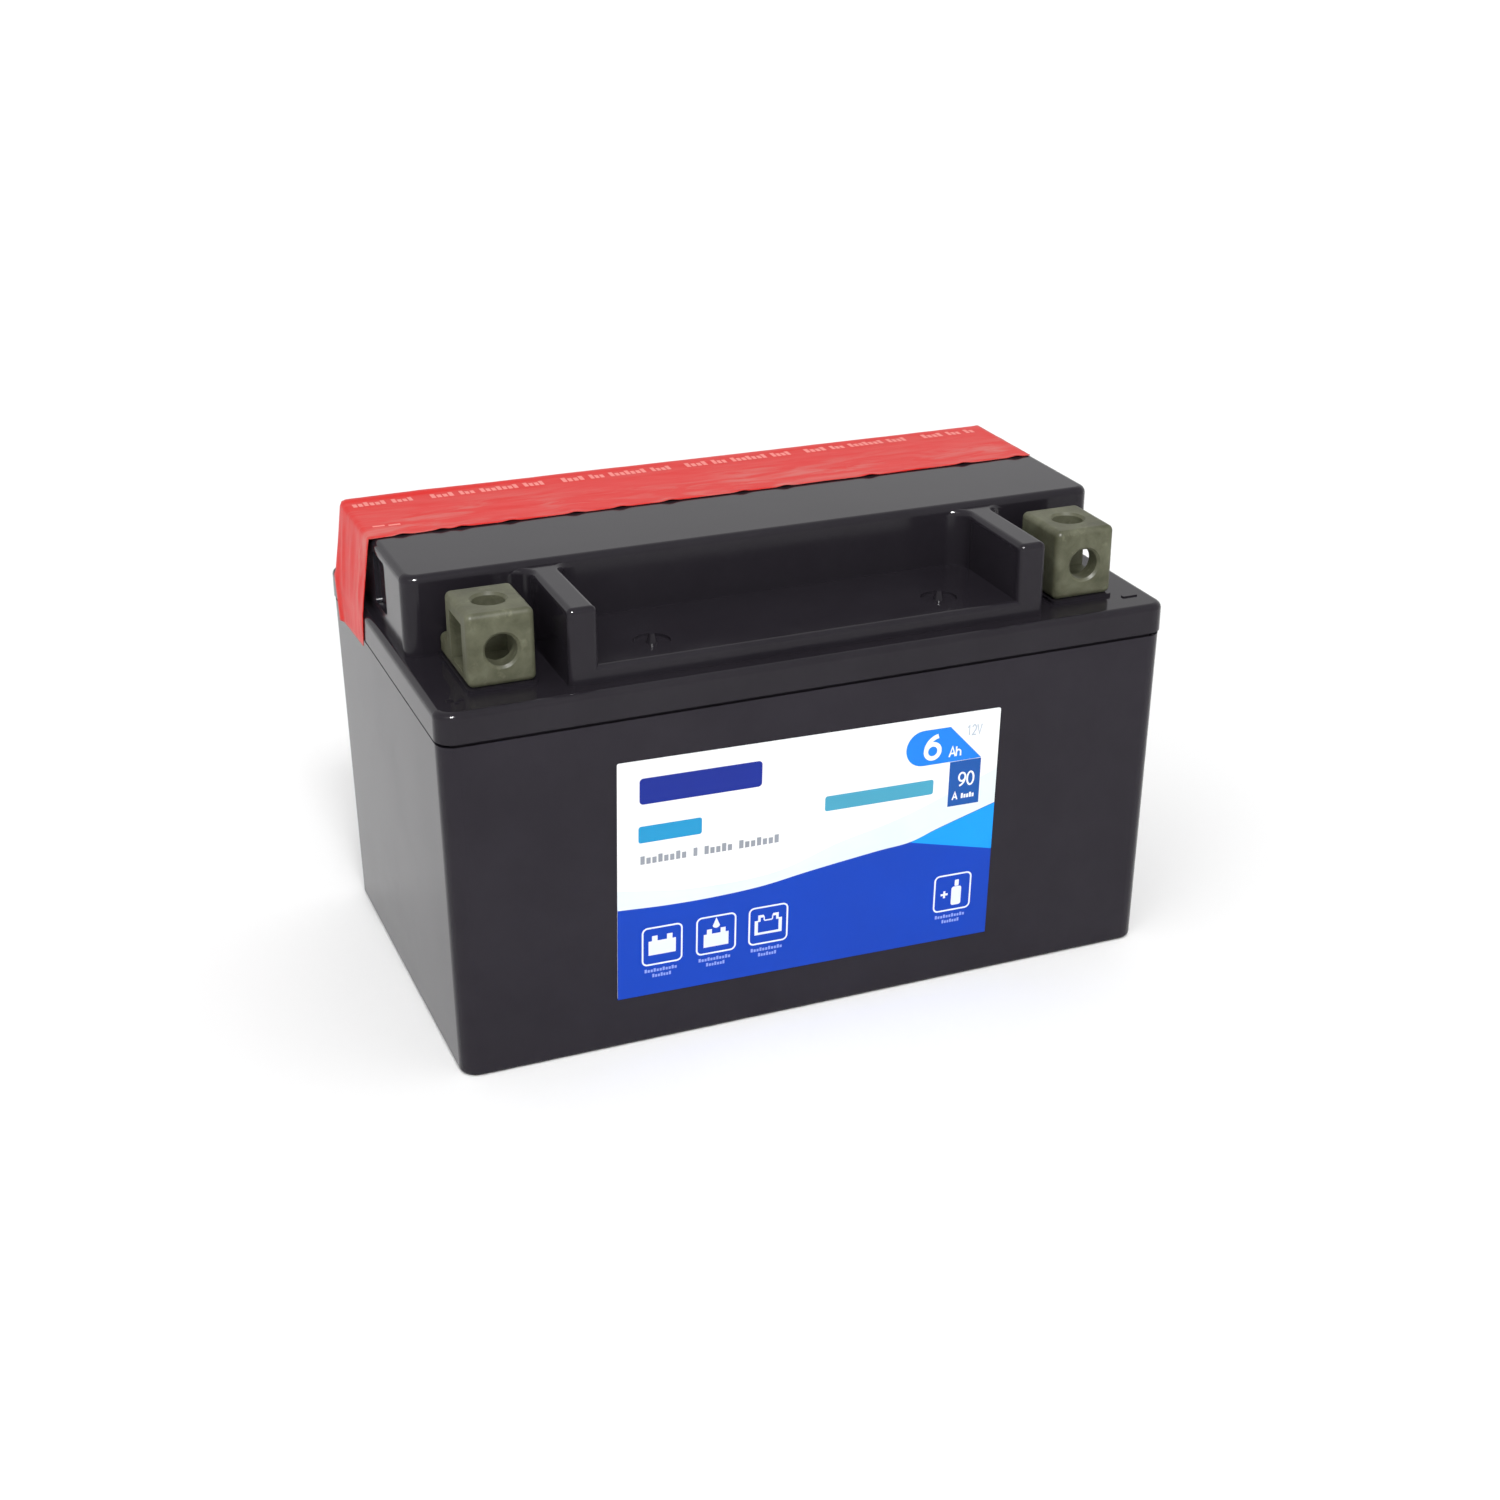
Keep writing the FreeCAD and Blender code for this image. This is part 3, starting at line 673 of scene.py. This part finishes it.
def rating(text, u, v, height, weight, narrow=1.0):
    """Plain figures and unit letters, drawn as strokes; (u, v) is the lower left corner."""
    faces = []
    for index, sign in enumerate(text):
        left = u + index * height * GLYPH_ADVANCE * narrow
        for layer, line in enumerate(GLYPHS[sign]):
            points = [(left + x * height * narrow, v + y * height) for x, y in line]
            faces += [[(p.x, p.y, layer * STROKE_STEP) for p in quad] for quad in stroke(points, weight)]
    return faces


def word_marks(u, v, words, height, pitch):
    """Rows of small blocks that stand for a line of small print, from its left end."""
    faces = []
    for word in words:
        marks = max(1, round(word / pitch))
        width = word / marks
        for mark in range(marks):
            top = v + mark_height(height, mark)
            left = u + mark * width
            right = left + LABEL_MARK_FILL * width
            faces.append([(left, v), (right, v), (right, top), (left, top)])
        u += word + pitch
    return faces


BLUE_EDGE = ((-40, -5.6), (-30, -6.1), (-20, -6.1), (-10, -5.5), (0, -4.0), (14, -2.2),
             (21.5, -1.4), (28, 0.8), (40, 4.5))
PALE_EDGE = ((-40, -1.4), (-25, -3.4), (-8, -3.0), (6, 1.2), (20, 4.6), (40, 12.0))
HEADING_BARS = (                # name, centre, width, height, corner radius and colour
    ("label_heading_bar", -23.2, 18.8, 24.8, 5.4, 0.8, (0.010, 0.026, 0.27)),
    ("label_second_bar", -29.4, 9.8, 12.8, 3.5, 0.5, (0.02, 0.30, 0.58)),
    ("label_third_bar", 14.3, 10.1, 23.4, 3.2, 0.5, (0.07, 0.36, 0.52)),
)


def catmull_rom(anchors):
    """Smooth line through the anchors."""
    points = [Vector(a) for a in anchors]
    points = [2 * points[0] - points[1]] + points + [2 * points[-1] - points[-2]]
    smooth = []
    for i in range(1, len(points) - 2):
        before, start, end, after = points[i - 1:i + 3]
        for step in range(CURVE_STEPS):
            t = step / CURVE_STEPS
            smooth.append(0.5 * (2 * start + (end - before) * t
                                 + (2 * before - 5 * start + 4 * end - after) * t ** 2
                                 + (3 * start - before - 3 * end + after) * t ** 3))
    return smooth + [points[-2]]


def battery_sign(u, v, size):
    """Side view of a plain battery: a box with two studs."""
    half = size / 2
    shoulder = v + half * 0.4
    stud_top = shoulder + size * 0.2
    right = [(1.0, v - half * 0.7), (1.0, shoulder), (0.75, shoulder), (0.75, stud_top),
             (0.35, stud_top), (0.35, shoulder)]
    return [(u + half * x, y) for x, y in right] + [(u - half * x, y) for x, y in right[::-1]]


def make_label_background():
    """Blue lower part with its wavy edge, pale band over it and light wedge at the right."""
    edge = catmull_rom(BLUE_EDGE)
    ink("label_blue_field",
        [[(-LABEL_HALF_W, -LABEL_HALF_H), (LABEL_HALF_W, -LABEL_HALF_H)] + edge[::-1]], 1,
        (0.0040, 0.052, 0.46))
    ink("label_pale_band", [catmull_rom(PALE_EDGE)[::-1] + edge], 0.5, (0.76, 0.86, 0.89))
    ink("label_light_wedge", [[(21.6, -1.5), (28, 0.7), (LABEL_HALF_W, 4.4), (LABEL_HALF_W, -5.9)]],
        2, (0.007, 0.33, 0.97))


def make_rating_fields():
    """Pill and square behind the capacity and the current."""
    pill = arc(23.4, 18.8, 3.8, 3.8, 90, 270) + [(36.3, 15.0), (29.1, 22.6)]
    ink("label_rating_pill", [pill], 1, (0.014, 0.22, 0.80))
    ink("label_rating_square", [[(29.4, 5.1), (36.3, 5.1), (36.3, 14.9), (29.4, 14.9)]], 1,
        (0.014, 0.095, 0.38))


def make_bars():
    """Plain bars stand for the headings."""
    for name, u, v, width, height, corner_r, colour in HEADING_BARS:
        ink(name, [rounded_box(u, v, width, height, corner_r)], 1, colour)


def make_ratings():
    """Small print, voltage, capacity and current."""
    ink("label_small_print", word_marks(-35.4, 3.5, (9.6, 1.1, 6.0, 8.6), 1.3, 1.15), 1,
        (0.30, 0.32, 0.36))
    ink("label_voltage", rating("12V", 32.8, 20.2, 2.1, 0.30, 0.58), 1, (0.50, 0.56, 0.64))
    figures = rating("6", 23.9, 16.4, 4.7, 0.95, 0.9) + rating("Ah", 29.1, 16.1, 2.1, 0.32, 0.8)
    figures += rating("90", 31.6, 9.4, 2.8, 0.38, 0.72) + rating("A", 30.4, 6.5, 1.6, 0.3, 0.8)
    figures += word_marks(32.3, 6.6, (3.0,), 0.8, 0.62)
    ink("label_figures", figures, 2, (0.90, 0.93, 0.97))


def sign_frame(u, v):
    """Square frame with round corners."""
    inner_size = SIGN_SIZE - 2 * SIGN_LINE
    return ring(rounded_box(u, v, SIGN_SIZE, SIGN_SIZE, SIGN_CORNER_R),
                rounded_box(u, v, inner_size, inner_size, SIGN_CORNER_R - SIGN_LINE))


def drop_sign(u, v):
    """Battery with a drop of liquid over it."""
    drop = arc(u, v + 2.2, 0.8, 0.8, 200, 340) + [(u, v + 3.7)]
    return [battery_sign(u, v - 0.8, 5.2), drop]


def bottle_sign(u, v):
    """A plus and a small bottle."""
    body = rounded_box(u + 0.9, v - 0.9, 2.2, 4.2, 0.5)
    neck = rounded_box(u + 0.9, v + 2.0, 0.9, 1.4, 0.2)
    plus = stroke([(u - 2.6, v - 0.3), (u - 1.0, v - 0.3)], 0.45)
    plus += stroke([(u - 1.8, v - 1.1), (u - 1.8, v - 0.52)], 0.45)
    plus += stroke([(u - 1.8, v - 0.08), (u - 1.8, v + 0.5)], 0.45)
    return [body, neck] + plus


def make_signs():
    """Four framed pictograms, with two short lines of small print under each."""
    faces = []
    small = []
    for u, v in SIGNS:
        faces += sign_frame(u, v)
        for left, down, length in SIGN_PRINT:
            small += word_marks(u + left, v + down, (length,), SIGN_PRINT_HEIGHT,
                                SIGN_PRINT_PITCH)
    solid, drop, outlined, bottle = SIGNS
    faces.append(battery_sign(*solid, 5.6))
    faces += drop_sign(*drop)
    faces += ring(battery_sign(*outlined, 5.8), battery_sign(*outlined, 4.4))
    faces += bottle_sign(*bottle)
    ink("label_signs", faces, 2, (0.78, 0.84, 0.97))
    ink("label_sign_print", small, 2, (0.26, 0.36, 0.80))


# ---------------------------------------------------------------- studio
def make_camera():
    azimuth = math.radians(CAMERA_AZIMUTH)
    elevation = math.radians(CAMERA_ELEVATION)
    roll = math.radians(CAMERA_ROLL)
    back = Vector((math.sin(azimuth) * math.cos(elevation),
                   -math.cos(azimuth) * math.cos(elevation), math.sin(elevation)))
    data = bpy.data.cameras.new("camera")
    data.lens = CAMERA_LENS
    data.sensor_width = 36
    data.clip_start = 0.01
    camera = bpy.data.objects.new("camera", data)
    bpy.context.scene.collection.objects.link(camera)
    turn = back.to_track_quat("Z", "Y").to_matrix()
    camera.matrix_world = turn.to_4x4()
    camera.rotation_euler.rotate_axis("Z", roll)
    camera.location = CAMERA_TARGET + back * CAMERA_DISTANCE
    bpy.context.scene.camera = camera


def make_lights():
    centre = (CAD_LOW + CAD_HIGH) / 2
    for number, (spot, size, radiance, lights_surfaces) in enumerate(SOFTBOXES, 1):
        data = bpy.data.lights.new("softbox_" + str(number), "AREA")
        data.size = size
        data.energy = radiance * math.pi * size ** 2
        light = bpy.data.objects.new(data.name, data)
        bpy.context.scene.collection.objects.link(light)
        light.location = spot
        light.rotation_euler = (light.location - centre).to_track_quat("Z", "Y").to_euler()
        light.visible_diffuse = lights_surfaces


def make_room():
    world = bpy.data.worlds.new("white_room")
    world.use_nodes = True
    tree = world.node_tree
    direction = add(tree, "TexCoord").outputs["Generated"]
    height = add(tree, "SeparateXYZ", {"Vector": direction}).outputs["Z"]
    strength = spread(tree, height, HORIZON, ZENITH, 0, 1)
    background = tree.nodes["Background"]
    background.inputs["Color"].default_value = (1, 1, 1, 1)
    tree.links.new(strength, background.inputs["Strength"])
    bpy.context.scene.world = world
    mesh = bpy.data.meshes.new("floor")
    half = FLOOR_SIZE / 2
    mesh.from_pydata([(-half, -half, 0), (half, -half, 0), (half, half, 0), (-half, half, 0)],
                     [], [(0, 1, 2, 3)])
    mesh.materials.append(studio_floor("floor"))
    floor = bpy.data.objects.new("floor", mesh)
    bpy.context.scene.collection.objects.link(floor)
    bpy.context.scene.view_settings.view_transform = "Standard"


# ---------------------------------------------------------------- build
dress_cad_nodes()
make_tape()
make_tape_print()
make_label_background()
make_rating_fields()
make_bars()
make_ratings()
make_signs()
make_room()
make_lights()
make_camera()
